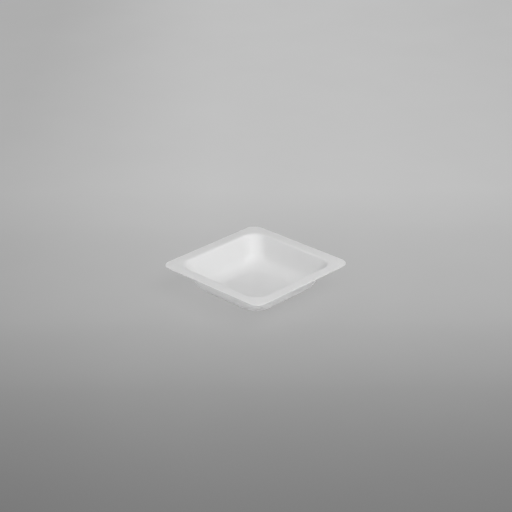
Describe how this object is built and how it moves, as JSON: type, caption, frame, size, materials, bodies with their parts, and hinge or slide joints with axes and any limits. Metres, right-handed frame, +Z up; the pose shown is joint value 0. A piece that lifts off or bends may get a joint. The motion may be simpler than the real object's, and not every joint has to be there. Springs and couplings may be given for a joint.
{
  "type": "weighing boat",
  "caption": "Shallow square dish formed from thin white plastic sheet, with leaning walls, rounded corners and a flat rim, for holding a weighed sample.",
  "frame": {"origin": "centre of the flat bottom, on the surface that the boat stands on", "axes": "+Z up through the open bowl, X and Y along the straight sides of the rim"},
  "size_m": [0.0412, 0.0412, 0.0091],
  "materials": {
    "sheet": "satin white polystyrene sheet"
  },
  "bodies": {
    "root": {"boat": "sheet"}
  },
  "joints": []
}
